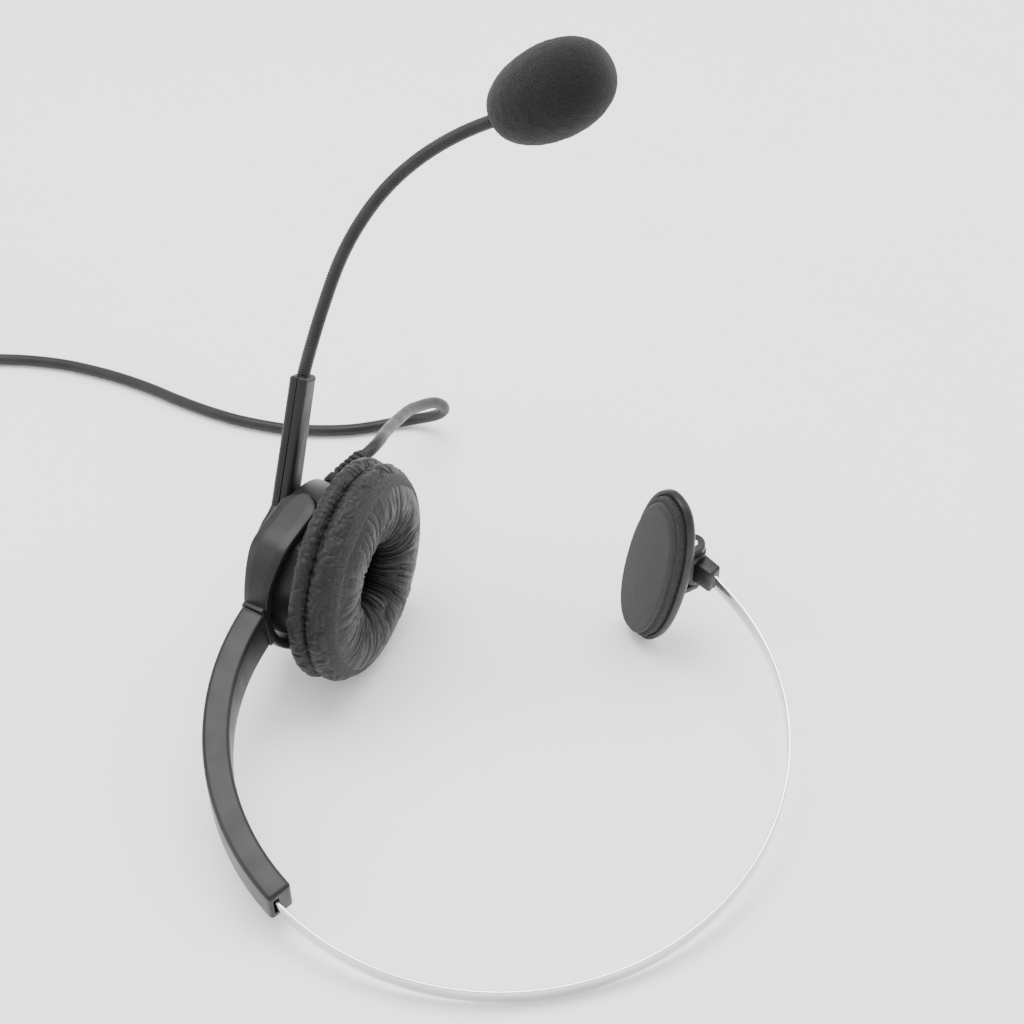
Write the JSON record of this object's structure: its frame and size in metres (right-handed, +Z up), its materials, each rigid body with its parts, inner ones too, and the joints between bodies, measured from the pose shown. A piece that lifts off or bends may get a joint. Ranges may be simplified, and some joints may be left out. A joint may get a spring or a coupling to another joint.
{
  "type": "office headset",
  "caption": "Single-ear office headset: wrinkled leatherette ear cushion, sliding steel headband, temple pad, and a turning boom with a bendable neck and a foam-covered microphone, corded.",
  "frame": {"origin": "on the table under the middle of the headset's box, cord left out", "axes": "+Z up from the table, +X from the ear cup towards the temple pad, +Y from the bend of the band towards the cord"},
  "size_m": [0.2916, 0.3222, 0.1591],
  "materials": {
    "chrome": "polished",
    "spring_steel": "plain",
    "black_plastic": "satin",
    "soft_plastic": "matte",
    "neck_coil": "ribbed, semi-matte",
    "leatherette": "soft, wrinkled",
    "black_foam": "open-cell foam",
    "grey_face": "soft matte",
    "cone_paper": "thin film",
    "cord_jacket": "satin jacket",
    "gold_plate": "gold plated"
  },
  "bodies": {
    "ear_cup": {"housing": "black_plastic", "speaker_baffle": "black_plastic", "driver_frame": "black_plastic", "driver_magnet": "spring_steel", "driver_cone": "cone_paper", "cushion_foam": "black_foam", "cushion_cover": "leatherette", "friction_washer": "spring_steel", "strain_relief": "soft_plastic", "cord": "cord_jacket", "cord_coil": "cord_jacket", "cord_tie": "soft_plastic", "cord_tail": "cord_jacket", "plug_body": "black_plastic", "plug_contact": "gold_plate"},
    "yoke": {"yoke": "black_plastic", "yoke_pivot_pins": "spring_steel", "swivel_pin": "spring_steel"},
    "arm": {"arm": "black_plastic", "drag_spring": "spring_steel"},
    "band": {"headband_strip": "chrome", "strip_stop": "spring_steel", "strip_end_block": "black_plastic"},
    "temple_pad": {"temple_shell": "black_plastic", "temple_foam": "black_foam", "temple_face": "grey_face", "pad_pin": "spring_steel"},
    "boom": {"boom_holder_inner": "black_plastic", "boom_holder_outer": "black_plastic", "boom_pivot": "spring_steel", "gooseneck_1": "neck_coil"},
    "neck_2": {"gooseneck_2": "neck_coil"},
    "neck_3": {"gooseneck_3": "neck_coil"},
    "mic": {"gooseneck_4": "neck_coil", "mic_housing": "black_plastic", "mic_capsule": "spring_steel", "windscreen": "black_foam"}
  },
  "joints": [
    {"name": "cup_tilt", "type": "hinge", "parent": "ear_cup", "child": "yoke", "pos_m": [-0.04918, 0.03664, 0.02941], "axis": [-0.0563, -0.1537, 0.9865], "range_deg": [-15, 12]},
    {"name": "yoke_swivel", "type": "hinge", "parent": "yoke", "child": "arm", "pos_m": [-0.06147, 0.01559, 0.02543], "axis": [0.4976, 0.8523, 0.1612], "range_deg": [-12, 12]},
    {"name": "band_slide", "type": "hinge", "parent": "arm", "child": "band", "pos_m": [0.00084, -0.01521, 0.01715], "axis": [0.0299, -0.2026, 0.9788], "range_deg": [-6, 18]},
    {"name": "pad_tilt", "type": "hinge", "parent": "band", "child": "temple_pad", "pos_m": [0.05073, 0.03509, 0.02604], "axis": [0.0299, -0.2026, 0.9788], "range_deg": [-10, 10]},
    {"name": "boom_turn", "type": "hinge", "parent": "ear_cup", "child": "boom", "pos_m": [-0.04421, 0.03454, 0.02937], "axis": [0.9211, -0.3892, -0.008], "range_deg": [-130, 30], "deforming": ["cord"]},
    {"name": "neck_bend_1", "type": "hinge", "parent": "boom", "child": "neck_2", "pos_m": [-0.03931, 0.06951, 0.09474], "axis": [0.3415, 0.8179, -0.4631], "range_deg": [-8, 8]},
    {"name": "neck_bend_2", "type": "hinge", "parent": "neck_2", "child": "neck_3", "pos_m": [-0.02921, 0.07497, 0.11184], "axis": [0.3415, 0.8179, -0.4631], "range_deg": [-8, 8]},
    {"name": "neck_bend_3", "type": "hinge", "parent": "neck_3", "child": "mic", "pos_m": [-0.01468, 0.07707, 0.12626], "axis": [0.3415, 0.8179, -0.4631], "range_deg": [-8, 8]}
  ],
  "couplings": [
    {"joint": "neck_bend_2", "follows": "neck_bend_1", "ratio": 1},
    {"joint": "neck_bend_3", "follows": "neck_bend_1", "ratio": 1}
  ]
}
